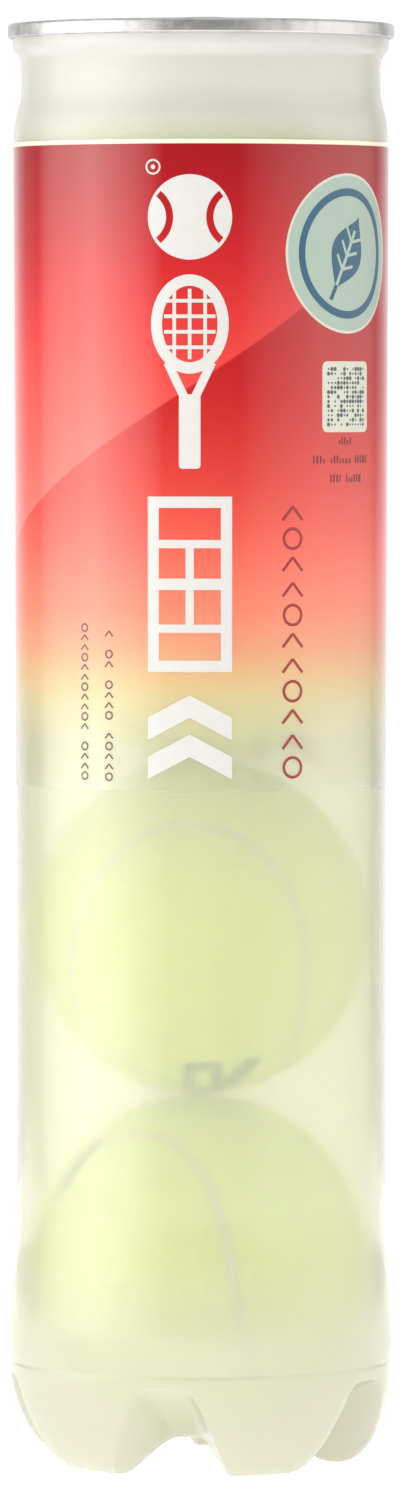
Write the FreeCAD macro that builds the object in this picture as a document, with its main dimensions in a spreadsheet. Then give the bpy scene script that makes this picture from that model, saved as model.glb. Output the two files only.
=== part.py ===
"""Pressurised tennis ball can: moulded can, label, seamed end with ring pull, four balls.

Millimetres, +Z up. The origin is on the can's axis, in the plane that its feet stand on.
The front of the can faces -Y. Every size is a cell of the "Dims" spreadsheet.
"""
import FreeCAD, Part
import math
import os

import Sketcher
from BOPTools import SplitAPI
from FreeCAD import Vector

# Stations up the outside of the moulded can, from the axis out and up to the flange.
# name, radius, height, inward share of the wall (radial, upward), arc to the next, turn
# The turn is +1 where that arc bulges outwards, -1 where it is hollow, 0 for a straight run.
CAN_STATIONS = [
    ("hub", 13.0, 5.6, 0.2, 1.0, 45.0, 1),
    ("pad_in", 24.5, 0.0, 0.3, 1.0, 0.0, 0),
    ("pad_out", 29.0, 0.0, -0.2, 1.0, 12.0, 1),
    ("toe", 34.3, 5.1, -0.9, 0.42, 28.0, 1),
    ("ankle", 37.75, 17.5, -1.0, 0.0, 0.0, 0),
    ("crease", 37.65, 20.4, -1.0, 0.0, 0.0, 0),
    ("bulge", 38.05, 25.0, -1.0, 0.0, 95.0, 1),
    ("waist", 37.35, 36.5, -1.0, -0.1, 100.0, -1),
    ("wall_low", 36.45, 50.0, -1.0, 0.0, 0.0, 0),
    ("wall_mid", 36.45, 134.0, -1.0, 0.0, 0.0, 0),
    ("wall_high", 36.95, 262.5, -1.0, 0.0, 14.0, 1),
    ("shoulder", 36.2, 267.0, -1.0, -0.3, 10.5, -1),
    ("neck_low", 35.4, 271.0, -1.0, 0.0, 0.0, 0),
    ("neck_high", 35.4, 277.2, -1.0, 0.0, 1.2, -1),
    ("bead_low", 36.3, 278.3, -0.8, 0.6, 1.9, 1),
    ("bead_high", 37.15, 279.9, -0.7, 0.0, 0.0, 0),
]

DIMENSIONS = [
    # moulded can
    ("wall", 0.5, "wall of the moulded can"),
    ("nub_radius", 1.5, "moulding nub under the hub"),
    ("nub_drop", 0.8, "how far the nub hangs below the hub"),
    ("flange_top", 283.3, "top of the can's flange, inside the seam"),
    ("flange_thick", 0.3, "thickness of the flange's turned-over edge"),
    ("flange_foot", 281.9, "lower edge of the turned-over flange"),
    ("flange_in_radius", 37.5, "inside of the turned-over flange"),
    ("flange_out_radius", 37.82, "outside of the turned-over flange"),
    # notches between the feet
    ("feet", 5, "number of feet"),
    ("notch_turn", 43, "direction of the first notch from +X, degrees"),
    ("notch_rise", 0.498, "rise of a notch's floor per radial millimetre"),
    ("notch_spread", 0.0894, "growth of its half width per radial millimetre"),
    ("notch_flank", 0.495, "slope of its sides, sideways per millimetre of drop"),
    ("notch_half", 3.2, "half width of its floor at the hub"),
    ("notch_over", 1.12, "upright height of the wall over the sloping floor, in walls"),
    ("notch_beside", 0.56, "extra half width of the floor's inner face, in walls"),
    ("notch_start", 9.0, "radius where the cutting shape starts"),
    ("notch_end", 41.0, "radius where the cutting shape ends"),
    ("notch_foot", -2.0, "height of the cutting shape's underside"),
    # label
    ("label_gap", 0.02, "space between the can and its label"),
    ("label_thick", 0.13, "printed film, with its varnish"),
    ("label_low", 134.4, "lower edge of the label"),
    ("label_high", 260.8, "upper edge of the label"),
    ("label_step", 1.5, "sector where the film steps over its own edge, degrees"),
    ("lap_sector", 18.0, "sector where the film lies twice, degrees"),
    ("lap_turn", 85.0, "direction of the lap from +X, degrees"),
    ("glue_thick", 0.05, "adhesive between the two layers of the lap"),
    ("glue_inset", 1.0, "margin of the adhesive inside the lap's ends"),
    # metal end
    ("metal", 0.25, "sheet metal of the end"),
    ("seam_radius", 38.1, "outside of the double seam"),
    ("seam_top", 284.2, "top of the double seam"),
    ("seam_foot", 281.4, "lower edge of the double seam"),
    ("seam_in_radius", 36.5, "inside of the double seam"),
    ("hook_radius", 37.2, "inside of the end's hook, within the seam"),
    ("hook_top", 282.9, "top of the end's hook"),
    ("chuck_radius", 34.85, "outside of the chuck wall at the bottom"),
    ("chuck_height", 278.2, "where the chuck wall starts to lean outwards"),
    ("sink_floor", 277.2, "underside of the countersink"),
    ("score_radius", 33.6, "edge of the opening, where the panel tears off"),
    ("panel_high", 278.65, "underside of the panel's rim"),
    ("seal_low", 283.35, "lower face of the sealing compound"),
    ("seal_high", 283.9, "upper face of the sealing compound"),
    ("seal_in_radius", 36.8, "inside of the sealing compound"),
    ("seal_out_radius", 37.8, "outside of the sealing compound"),
    # tear-off panel and its rivet
    ("tear_gap", 0.05, "clearance left by the broken score"),
    ("recess_radius", 30.5, "edge of the panel's recessed middle"),
    ("recess_drop", 0.6, "depth of the recessed middle"),
    ("bead_radius", 28.0, "middle of the ring bead pressed in the panel"),
    ("bead_half", 0.9, "half width of the ring bead"),
    ("bead_rise", 0.4, "height of the ring bead"),
    ("well_radius", 15.0, "edge of the shallow middle field of the panel"),
    ("well_drop", 0.5, "depth of the shallow middle field"),
    ("rivet_place", 23.5, "distance of the rivet from the axis"),
    ("rivet_radius", 1.9, "stem of the rivet"),
    ("rivet_head", 3.0, "head of the rivet"),
    ("rivet_rise", 0.35, "height of the stem above the panel"),
    ("rivet_cap", 0.55, "thickness of the head"),
    ("rivet_round", 0.33, "rounding of the head's upper edge"),
    # ring pull
    ("tab_turn", 15.0, "direction of the ring pull, degrees about +Z from -Y"),
    ("tab_tilt", 7.1, "tilt of the ring pull at rest, degrees"),
    ("nose_radius", 32.0, "distance of the nose from the axis"),
    ("nose_height", 279.1, "height of the nose's lower edge"),
    ("tab_thick", 1.6, "thickness over the curled edges"),
    ("nose_half", 7.0, "half width of the nose"),
    ("nose_corner", 4.5, "corner radius of the nose"),
    ("ring_place", 28.5, "distance of the ring's centre from the nose"),
    ("ring_radius", 11.5, "outside of the ring"),
    ("finger_radius", 8.2, "finger hole"),
    ("nose_length", 22.0, "length of the straight part"),
    ("window_near", 2.5, "edge of the rivet window near the nose"),
    ("window_far", 12.5, "edge of the rivet window near the ring"),
    ("window_half", 4.2, "half width of the rivet window"),
    ("web_near", 13.9, "edge of the sunk web near the nose"),
    ("web_far", 18.8, "edge of the sunk web near the ring"),
    ("web_half", 4.6, "half width of the sunk web"),
    ("web_depth", 0.9, "depth of the sunk web"),
    ("tab_round", 0.6, "rounding of the curled edges"),
    ("tongue_half", 3.5, "half width of the riveted tongue"),
    ("tongue_near", 29.2, "end of the tongue under the nose, from the axis"),
    ("tongue_bend", 26.55, "where the tongue bends up"),
    ("tongue_far", 19.9, "free end of the tongue"),
    ("tongue_thick", 0.3, "thickness of the tongue"),
    ("tongue_gap", 0.03, "clearance between the tongue and the panel"),
    ("tongue_lift", 1.15, "height that the bent end gains"),
    ("tongue_hole", 1.95, "hole round the rivet's stem"),
    # balls
    ("ball_radius", 33.25, "outside of the felt"),
    ("ball_pitch", 66.55, "distance from one ball's centre to the next"),
    ("ball_first", 39.4, "height of the lowest ball's centre"),
    ("felt_inside", 30.05, "inside of the felt"),
    ("core_outside", 30.0, "outside of the rubber core"),
    ("core_inside", 26.6, "inside of the rubber core"),
    ("groove_half", 0.9, "half width of the seam between the felt panels"),
    ("groove_depth", 0.65, "how far the seam lies below the felt"),
    ("seam_bow", 0.75, "shape number of the seam curve, between 0.5 and 1"),
]

# How each ball happens to lie in the can: turns about Z, Y and X, in degrees.
BALL_TURNS = [(11, -9, -3), (-142, 10, -16), (140, 25, 60), (35, 70, 10)]

# Points along the seam curve of a ball.
SEAM_POINTS = 48

doc = FreeCAD.newDocument("tennis_ball_can")
sheet = doc.addObject("Spreadsheet::Sheet", "Dims")


def fill_sheet():
    """Write every driving dimension to the sheet, one row each: number, alias, meaning."""
    rows = list(DIMENSIONS)
    for name, radius, height, _, _, curve, _ in CAN_STATIONS:
        rows.append((name + "_r", radius, "radius of the can's " + name))
        rows.append((name + "_z", height, "height of the can's " + name))
        if curve:
            rows.append((name + "_arc", curve, "radius of the arc above the can's " + name))
    for number, (alias, amount, meaning) in enumerate(rows, start=1):
        sheet.set("A%d" % number, str(amount))
        sheet.setAlias("A%d" % number, alias)
        sheet.set("B%d" % number, meaning)
    doc.recompute()


def dim(alias):
    """One number of the sheet."""
    return float(sheet.get(alias))


# ---------------------------------------------------------------- sketches and features

def new_body(label):
    """A PartDesign body that carries this name."""
    body = doc.addObject("PartDesign::Body", label)
    body.Label = label
    return body


def origin_item(body, role):
    """The body's own origin plane or axis with this role."""
    return [item for item in body.Origin.OriginFeatures if item.Role == role][0]


def new_sketch(body, name, role="XZ_Plane", offset=None):
    """A sketch on one of the body's origin planes, moved along its normal by an expression."""
    sketch = body.newObject("Sketcher::SketchObject", name)
    sketch.AttachmentSupport = [(origin_item(body, role), "")]
    sketch.MapMode = "FlatFace"
    if offset:
        sketch.setExpression("AttachmentOffset.Base.z", offset)
    return sketch


def pin_point(sketch, index, point, across, along):
    """Hold one end of a sketch edge at two expressions, or on an axis where one is zero."""
    for kind, axis, expression in (("DistanceX", -2, across), ("DistanceY", -1, along)):
        amount = sketch.evalExpression(expression)
        if abs(amount) < 1e-9:
            sketch.addConstraint(Sketcher.Constraint("PointOnObject", index, point, axis))
            continue
        number = sketch.addConstraint(Sketcher.Constraint(kind, -1, 1, index, point, amount))
        sketch.setExpression("Constraints[%d]" % number, expression)


def add_arc(sketch, start, end, radius, turn):
    """An arc from start to end, anticlockwise for turn +1. Returns its index and its ends."""
    chord = end - start
    sideways = Vector(-chord.y, chord.x, 0).normalize()
    reach = math.sqrt(radius ** 2 - (chord.Length / 2) ** 2)
    centre = (start + end) * 0.5 + sideways * (turn * reach)
    first, last = (start, end) if turn > 0 else (end, start)
    angle_1 = math.atan2(first.y - centre.y, first.x - centre.x)
    angle_2 = math.atan2(last.y - centre.y, last.x - centre.x)
    if angle_2 < angle_1:
        angle_2 += 2 * math.pi
    circle = Part.Circle(centre, Vector(0, 0, 1), radius)
    index = sketch.addGeometry(Part.ArcOfCircle(circle, angle_1, angle_2))
    return (index, 1, 2) if turn > 0 else (index, 2, 1)


def add_outline(sketch, corners):
    """A closed outline through corners (across, along) or (across, along, radius, turn)."""
    places = [Vector(sketch.evalExpression(corner[0]), sketch.evalExpression(corner[1]), 0)
              for corner in corners]
    edges = []
    for place, corner, after in zip(places, corners, places[1:] + places[:1]):
        if len(corner) == 4:
            edges.append(add_arc(sketch, place, after, sketch.evalExpression(corner[2]), corner[3]))
        else:
            edges.append((sketch.addGeometry(Part.LineSegment(place, after)), 1, 2))
    for edge, corner, after in zip(edges, corners, edges[1:] + edges[:1]):
        sketch.addConstraint(Sketcher.Constraint("Coincident", edge[0], edge[2], after[0], after[1]))
        pin_point(sketch, edge[0], edge[1], corner[0], corner[1])
        if len(corner) == 4:
            radius = sketch.evalExpression(corner[2])
            number = sketch.addConstraint(Sketcher.Constraint("Radius", edge[0], radius))
            sketch.setExpression("Constraints[%d]" % number, corner[2])


def add_circle(sketch, across, along, radius):
    """A circle whose centre and radius follow three expressions."""
    centre = Vector(sketch.evalExpression(across), sketch.evalExpression(along), 0)
    size = sketch.evalExpression(radius)
    index = sketch.addGeometry(Part.Circle(centre, Vector(0, 0, 1), size))
    pin_point(sketch, index, 3, across, along)
    number = sketch.addConstraint(Sketcher.Constraint("Radius", index, size))
    sketch.setExpression("Constraints[%d]" % number, radius)


def revolve(body, name, corners, angle="360"):
    """Turn an outline in the XZ plane about the Z axis, starting at +X."""
    sketch = new_sketch(body, name + "_outline")
    add_outline(sketch, corners)
    feature = body.newObject("PartDesign::Revolution", name)
    feature.Profile = sketch
    feature.ReferenceAxis = (sketch, ["V_Axis"])
    feature.setExpression("Angle", angle)
    doc.recompute()
    return feature


def pad(body, name, sketch, length):
    """Raise a sketch along its normal by an expression."""
    feature = body.newObject("PartDesign::Pad", name)
    feature.Profile = sketch
    feature.setExpression("Length", length)
    doc.recompute()
    return feature


def pocket(body, name, sketch, depth):
    """Cut a sketch downwards by an expression, or right through where depth is None."""
    before = body.Shape.Volume
    feature = body.newObject("PartDesign::Pocket", name)
    feature.Profile = sketch
    if depth:
        feature.setExpression("Length", depth)
    else:
        feature.Type = "ThroughAll"
        feature.Midplane = True
    doc.recompute()
    if body.Shape.Volume >= before:
        raise RuntimeError(name + " cuts nothing")
    return feature


# ---------------------------------------------------------------- moulded can

def can_outline(inset):
    """The outline of the can's outside, or of its inside for an inset of one wall."""
    wall = "%s * Dims.wall" % inset
    corners = [("0", "Dims.hub_z + %s" % wall)]
    if not inset:
        corners = [("0", "Dims.hub_z - Dims.nub_drop"),
                   ("Dims.nub_radius", "Dims.hub_z - Dims.nub_drop"),
                   ("Dims.nub_radius", "Dims.hub_z")]
    for name, _, _, inward, upward, curve, turn in CAN_STATIONS:
        corner = ["Dims.%s_r + %s * %s" % (name, inward, wall),
                  "Dims.%s_z + %s * %s" % (name, upward, wall)]
        if turn:
            corner += ["Dims.%s_arc - %d * %s" % (name, turn, wall), turn]
        corners.append(tuple(corner))
    return corners


def cut_notches(body, inset):
    """Cut the notches between the feet: straight troughs that rise from the hub outwards."""
    before = body.Shape.Volume
    wall = "%s * Dims.wall" % inset
    sketches = []
    for end in ("notch_start", "notch_end"):
        reach = "(Dims.%s - Dims.hub_r)" % end
        top = "Dims.hub_z + Dims.notch_rise * %s + Dims.notch_over * %s" % (reach, wall)
        half = "(Dims.notch_half + Dims.notch_spread * %s + Dims.notch_beside * %s)" % (reach, wall)
        foot = "(%s + Dims.notch_flank * (%s - Dims.notch_foot))" % (half, top)
        sketch = new_sketch(body, end + "_section", "YZ_Plane", "Dims.%s" % end)
        add_outline(sketch, [("-1 * " + half, top), ("-1 * " + foot, "Dims.notch_foot"),
                             (foot, "Dims.notch_foot"), (half, top)])
        sketches.append(sketch)
    notch = body.newObject("PartDesign::SubtractiveLoft", "notch")
    notch.Profile = sketches[0]
    notch.Sections = [sketches[1]]
    notch.Ruled = True
    doc.recompute()
    ring = body.newObject("PartDesign::PolarPattern", "notch_ring")
    ring.Originals = [notch]
    ring.Axis = (origin_item(body, "Z_Axis"), [""])
    ring.Angle = 360
    ring.setExpression("Occurrences", "Dims.feet")
    body.Tip = ring
    doc.recompute()
    if body.Shape.Volume >= before:
        raise RuntimeError("the notches cut nothing")


def make_can_body():
    """The blown can: its outside less its inside, both with the notches between the feet."""
    outside = new_body("can_outside")
    flange = [("Dims.bead_high_r", "Dims.flange_top - Dims.flange_thick"),
              ("Dims.flange_in_radius", "Dims.flange_top - Dims.flange_thick"),
              ("Dims.flange_in_radius", "Dims.flange_foot"),
              ("Dims.flange_out_radius", "Dims.flange_foot"),
              ("Dims.flange_out_radius", "Dims.flange_top"), ("0", "Dims.flange_top")]
    revolve(outside, "outside", can_outline(0) + flange)
    cut_notches(outside, 0)
    inside = new_body("can_inside")
    outline = can_outline(1)
    mouth = [(outline[-1][0], "Dims.seam_top"), ("0", "Dims.seam_top")]
    revolve(inside, "inside", outline + mouth)
    cut_notches(inside, 1)
    can = doc.addObject("Part::Cut", "can_body")
    can.Base = outside
    can.Tool = inside
    can.setExpression("Placement.Rotation.Angle", "Dims.notch_turn")
    return can


# ---------------------------------------------------------------- label

def label_layer(low_offset, high_offset, margin="0"):
    """The outline of one layer on the can's slightly tapered wall, between two offsets."""
    taper = "(Dims.wall_high_r - Dims.wall_mid_r) / (Dims.wall_high_z - Dims.wall_mid_z)"
    low = "Dims.label_low + %s" % margin
    high = "Dims.label_high - %s" % margin
    skin = "Dims.wall_mid_r + Dims.label_gap + %s * (%s - Dims.wall_mid_z)"
    low_skin = skin % (taper, low)
    high_skin = skin % (taper, high)
    return [("%s + %s" % (low_skin, low_offset), low), ("%s + %s" % (low_skin, high_offset), low),
            ("%s + %s" % (high_skin, high_offset), high), ("%s + %s" % (high_skin, low_offset), high)]


def make_label_sleeve():
    """The film label: once round the can, then over its own edge and on for a short lap."""
    body = new_body("label_sleeve")
    film = "Dims.label_thick"
    over = "(Dims.label_thick + Dims.glue_thick)"
    revolve(body, "wrap", label_layer("0", film))
    revolve(body, "lap", label_layer(over, over + " + " + film), "Dims.lap_sector")
    revolve(body, "step", label_layer("0.5 * " + film, over + " + " + film), "Dims.label_step")
    body.setExpression("Placement.Rotation.Angle", "Dims.lap_turn")
    return body


def make_label_glue_strip():
    """The adhesive that holds the label's lap."""
    body = new_body("label_glue_strip")
    layer = label_layer("Dims.label_thick", "(Dims.label_thick + Dims.glue_thick)", "Dims.glue_inset")
    revolve(body, "strip", layer, "Dims.lap_sector - Dims.label_step - Dims.glue_inset")
    body.setExpression("Placement.Rotation.Angle", "Dims.lap_turn + Dims.label_step")
    return body


# ---------------------------------------------------------------- metal end

def make_end_ring():
    """The part of the end that stays on the can: countersink, chuck wall and double seam."""
    body = new_body("end_ring")
    wall_in = "Dims.chuck_radius - Dims.metal"
    corners = [
        ("Dims.score_radius", "Dims.sink_floor"), ("Dims.chuck_radius", "Dims.sink_floor"),
        ("Dims.chuck_radius", "Dims.chuck_height"),
        ("Dims.seam_in_radius + Dims.metal", "Dims.seam_foot"),
        ("Dims.seam_in_radius + Dims.metal", "Dims.seam_top - Dims.metal"),
        ("Dims.seam_radius - Dims.metal", "Dims.seam_top - Dims.metal"),
        ("Dims.seam_radius - Dims.metal", "Dims.seam_foot + Dims.metal"),
        ("Dims.hook_radius + Dims.metal", "Dims.seam_foot + Dims.metal"),
        ("Dims.hook_radius + Dims.metal", "Dims.hook_top"), ("Dims.hook_radius", "Dims.hook_top"),
        ("Dims.hook_radius", "Dims.seam_foot"),
        ("Dims.seam_radius - Dims.metal", "Dims.seam_foot", "Dims.metal", 1),
        ("Dims.seam_radius", "Dims.seam_foot + Dims.metal"),
        ("Dims.seam_radius", "Dims.seam_top - 3 * Dims.metal", "3 * Dims.metal", 1),
        ("Dims.seam_radius - 3 * Dims.metal", "Dims.seam_top"),
        ("Dims.seam_in_radius + 2 * Dims.metal", "Dims.seam_top", "2 * Dims.metal", 1),
        ("Dims.seam_in_radius", "Dims.seam_top - 2 * Dims.metal"),
        ("Dims.seam_in_radius", "Dims.seam_foot"),
        (wall_in, "Dims.chuck_height"),
        (wall_in, "Dims.sink_floor + Dims.metal"),
        ("Dims.score_radius + Dims.metal", "Dims.sink_floor + Dims.metal"),
        ("Dims.score_radius + Dims.metal", "Dims.panel_high + Dims.metal"),
        ("Dims.score_radius", "Dims.panel_high + Dims.metal"),
    ]
    revolve(body, "ring", corners)
    return body


def make_seam_compound():
    """The ring of sealing compound in the top of the double seam."""
    body = new_body("seam_compound")
    revolve(body, "ring", [("Dims.seal_in_radius", "Dims.seal_low"),
                           ("Dims.seal_out_radius", "Dims.seal_low"),
                           ("Dims.seal_out_radius", "Dims.seal_high"),
                           ("Dims.seal_in_radius", "Dims.seal_high")])
    return body


def panel_face(level):
    """One face of the pressed panel, from its torn edge in to the axis, at a rim height."""
    floor = "%s - Dims.recess_drop" % level
    well = "%s - Dims.well_drop" % floor
    return [
        ("Dims.score_radius - Dims.tear_gap", level), ("Dims.recess_radius", level),
        ("Dims.recess_radius - Dims.recess_drop", floor),
        ("Dims.bead_radius + Dims.bead_half", floor),
        ("Dims.bead_radius", "%s + Dims.bead_rise" % floor),
        ("Dims.bead_radius - Dims.bead_half", floor),
        ("Dims.well_radius", floor), ("Dims.well_radius - Dims.well_drop", well), ("0", well),
    ]


def make_tear_panel():
    """The disc that tears off, with the rivet formed from it for the ring pull."""
    body = new_body("tear_panel")
    under = panel_face("Dims.panel_high")
    above = panel_face("(Dims.panel_high + Dims.metal)")
    revolve(body, "disc", under[::-1] + above)
    floor = "Dims.panel_high + Dims.metal - Dims.recess_drop"
    rivet_foot = "%s - 0.5 * Dims.metal" % floor
    stem = new_sketch(body, "stem_circle", "XY_Plane", rivet_foot)
    add_circle(stem, "0", "Dims.rivet_place", "Dims.rivet_radius")
    pad(body, "stem", stem, "Dims.rivet_rise + 0.5 * Dims.metal")
    head = new_sketch(body, "head_circle", "XY_Plane", "%s + Dims.rivet_rise" % floor)
    add_circle(head, "0", "Dims.rivet_place", "Dims.rivet_head")
    cap = pad(body, "head", head, "Dims.rivet_cap")
    top = cap.Shape.BoundBox.ZMax - 1e-6
    rim = [name for name, edge in named_edges(cap.Shape) if edge.BoundBox.ZMin > top]
    rounding = body.newObject("PartDesign::Fillet", "head_round")
    rounding.Base = (cap, rim)
    rounding.setExpression("Radius", "Dims.rivet_round")
    body.Tip = rounding
    body.setExpression("Placement.Rotation.Angle", "Dims.tab_turn")
    return body


def named_edges(shape):
    """Every edge of a shape with the name that a feature refers to it by."""
    return [("Edge%d" % number, edge) for number, edge in enumerate(shape.Edges, start=1)]


# ---------------------------------------------------------------- ring pull

def make_tab_tongue():
    """The tongue of the ring pull, which the rivet holds down on the panel."""
    body = new_body("tab_tongue")
    base = "Dims.panel_high + Dims.metal - Dims.recess_drop + Dims.tongue_gap"
    side = new_sketch(body, "side_outline", "YZ_Plane", "-1 * Dims.tongue_half")
    add_outline(side, [
        ("Dims.tongue_far", base), ("Dims.tongue_bend", base),
        ("Dims.tongue_near", base + " + Dims.tongue_lift"),
        ("Dims.tongue_near", base + " + Dims.tongue_lift + Dims.tongue_thick"),
        ("Dims.tongue_bend", base + " + Dims.tongue_thick"),
        ("Dims.tongue_far", base + " + Dims.tongue_thick")])
    pad(body, "strip", side, "2 * Dims.tongue_half")
    hole = new_sketch(body, "hole_circle", "XY_Plane", base)
    add_circle(hole, "0", "Dims.rivet_place", "Dims.tongue_hole")
    pocket(body, "rivet_hole", hole, None)
    body.setExpression("Placement.Rotation.Angle", "Dims.tab_turn")
    return body


def make_pull_tab():
    """The ring pull, drawn flat with its nose at the origin and its ring towards -Y."""
    body = new_body("pull_tab")
    nose = new_sketch(body, "nose_outline", "XY_Plane")
    flat = "(Dims.nose_half - Dims.nose_corner)"
    add_outline(nose, [
        ("-1 * Dims.nose_half", "-1 * Dims.nose_length"), ("Dims.nose_half", "-1 * Dims.nose_length"),
        ("Dims.nose_half", "-1 * Dims.nose_corner", "Dims.nose_corner", 1), (flat, "0"),
        ("-1 * " + flat, "0", "Dims.nose_corner", 1),
        ("-1 * Dims.nose_half", "-1 * Dims.nose_corner")])
    pad(body, "nose", nose, "Dims.tab_thick")
    ring = new_sketch(body, "ring_outline", "XY_Plane")
    add_circle(ring, "0", "-1 * Dims.ring_place", "Dims.ring_radius")
    pad(body, "ring", ring, "Dims.tab_thick")
    holes = new_sketch(body, "hole_outlines", "XY_Plane")
    add_circle(holes, "0", "-1 * Dims.ring_place", "Dims.finger_radius")
    add_outline(holes, window_outline("window"))
    pocket(body, "holes", holes, None)
    web = new_sketch(body, "web_outline", "XY_Plane", "Dims.tab_thick")
    add_outline(web, window_outline("web"))
    cut = pocket(body, "web", web, "Dims.web_depth")
    rims = [name for name, edge in named_edges(cut.Shape) if is_tab_rim(edge)]
    curl = body.newObject("PartDesign::Fillet", "curled_edges")
    curl.Base = (cut, rims)
    curl.setExpression("Radius", "Dims.tab_round")
    body.Tip = curl
    body.setExpression("Placement", (
        "create(<<placement>>; create(<<vector>>; -sin(Dims.tab_turn) * Dims.nose_radius;"
        " cos(Dims.tab_turn) * Dims.nose_radius; Dims.nose_height);"
        " create(<<rotation>>; Dims.tab_turn; 0; -Dims.tab_tilt))"))
    return body


def window_outline(name):
    """A rectangle across the tab, between two distances from its nose."""
    half, near, far = ("Dims.%s_%s" % (name, part) for part in ("half", "near", "far"))
    return [("-1 * " + half, "-1 * " + far), (half, "-1 * " + far),
            (half, "-1 * " + near), ("-1 * " + half, "-1 * " + near)]


def is_tab_rim(edge):
    """True for an edge of the ring pull's outer outline or finger hole, top or bottom."""
    box = edge.BoundBox
    level = box.ZLength < 1e-6 and (box.ZMax < 1e-6 or box.ZMax > dim("tab_thick") - 1e-6)
    in_slot = box.YMin > -dim("web_far") - 1e-6 and box.XMax < dim("nose_half") - 1e-6 \
        and box.XMin > 1e-6 - dim("nose_half") and box.YMax < 1e-6 - dim("window_near")
    return level and not in_slot


# ---------------------------------------------------------------- balls

def seam_point(turn, radius, offset):
    """A point of the seam curve on a sphere, moved sideways along the sphere by an offset."""
    bow = dim("seam_bow")
    rest = 1 - bow
    height = 2 * math.sqrt(bow * rest)
    place = Vector(bow * math.cos(turn) + rest * math.cos(3 * turn),
                   bow * math.sin(turn) - rest * math.sin(3 * turn),
                   height * math.sin(2 * turn))
    course = Vector(-bow * math.sin(turn) - 3 * rest * math.sin(3 * turn),
                    bow * math.cos(turn) - 3 * rest * math.cos(3 * turn),
                    2 * height * math.cos(2 * turn))
    sideways = place.cross(course).normalize()
    moved = place + sideways * math.tan(offset / dim("ball_radius"))
    return moved.normalize() * radius


def seam_edge(radius, offset):
    """The seam curve at one radius, as one closed smooth edge."""
    turns = [2 * math.pi * step / SEAM_POINTS for step in range(SEAM_POINTS)]
    points = [seam_point(turn, radius, offset) for turn in turns]
    curve = Part.BSplineCurve()
    curve.interpolate(Points=points, PeriodicFlag=True)
    return curve.toShape()


def split_felt():
    """Cut the felt shell along both sides of the seam. Returns the two large panels."""
    shell = Part.makeSphere(dim("ball_radius")).cut(Part.makeSphere(dim("felt_inside")))
    under, over = dim("felt_inside") - 2, dim("ball_radius") + 2
    half = dim("groove_half")
    walls = [Part.makeRuledSurface(seam_edge(under, side), seam_edge(over, side))
             for side in (half, -half)]
    pieces = sorted(SplitAPI.slice(shell, walls, "Split").Solids, key=lambda piece: piece.Volume)
    return pieces[1], pieces[2]


def make_seam_strip():
    """The strip of seam adhesive: a closed band of four ruled faces between four edges."""
    half = dim("groove_half")
    low, high = dim("felt_inside"), dim("ball_radius") - dim("groove_depth")
    corners = [(low, -half), (low, half), (high, half), (high, -half)]
    edges = [seam_edge(radius, side) for radius, side in corners]
    faces = [Part.makeRuledSurface(edge, after) for edge, after in zip(edges, edges[1:] + edges[:1])]
    shell = Part.makeShell(faces)
    shell.sewShape()
    band = Part.makeSolid(Part.Shell(shell.Faces))
    return band if band.Volume > 0 else band.reversed()


def make_cover():
    """The cover of one ball: two felt panels, and the seam strip that lies lower than them."""
    felt_a, felt_b = split_felt()
    return {"felt_a": felt_a, "felt_b": felt_b, "seam": make_seam_strip()}


def make_core_half(label, low, high):
    """Half of the hollow rubber core, between two latitudes."""
    spheres = []
    for layer in ("outside", "inside"):
        sphere = doc.addObject("Part::Sphere", "%s_%s" % (label, layer))
        sphere.setExpression("Radius", "Dims.core_%s" % layer)
        sphere.Angle1 = low
        sphere.Angle2 = high
        spheres.append(sphere)
    half = doc.addObject("Part::Cut", label)
    half.Base, half.Tool = spheres
    return half


def make_ball(number, turns, cover):
    """One ball: two core halves, two felt panels and the seam, all turned the same way."""
    name = "ball_%d_" % number
    pieces = [make_core_half(name + "core_lower", -90, 0), make_core_half(name + "core_upper", 0, 90)]
    for layer, shape in cover.items():
        piece = doc.addObject("Part::Feature", name + layer)
        piece.Shape = shape
        pieces.append(piece)
    height = "Dims.ball_first + %d * Dims.ball_pitch" % (number - 1)
    for piece in pieces:
        piece.setExpression("Placement", (
            "create(<<placement>>; create(<<vector>>; 0; 0; %s);"
            " create(<<rotation>>; %d; %d; %d))" % ((height,) + turns)))
    return pieces


# ---------------------------------------------------------------- build, test and write

def check_document(nodes):
    """Stop if any object failed to compute or any node's shape is not a valid solid."""
    for item in doc.Objects:
        if "Invalid" in item.State or "Error" in item.State:
            raise RuntimeError("%s failed: %s" % (item.Label, item.State))
    for node in nodes:
        shape = node.Shape
        if shape.isNull() or not shape.isValid() or len(shape.Solids) != 1 or shape.Volume <= 0:
            raise RuntimeError("%s is not one valid solid" % node.Label)


def build():
    """Make every piece, check the document and write one STEP file for each node."""
    fill_sheet()
    nodes = [make_can_body(), make_label_sleeve(), make_label_glue_strip(), make_end_ring(),
             make_seam_compound(), make_tear_panel(), make_tab_tongue(), make_pull_tab()]
    cover = make_cover()
    for number, turns in enumerate(BALL_TURNS, start=1):
        nodes += make_ball(number, turns, cover)
    doc.recompute()
    check_document(nodes)
    os.makedirs("parts", exist_ok=True)
    for node in nodes:
        node.Shape.exportStep("parts/%s.step" % node.Label)
        print("%-20s %10.2f mm3" % (node.Label, node.Shape.Volume))


build()
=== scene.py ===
"""Looks of the tennis ball can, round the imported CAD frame. Metres, +Z up, front towards -Y."""
import math
import random

import bmesh
import bpy
import numpy as np
from mathutils import Matrix, Vector, geometry, noise


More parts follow.
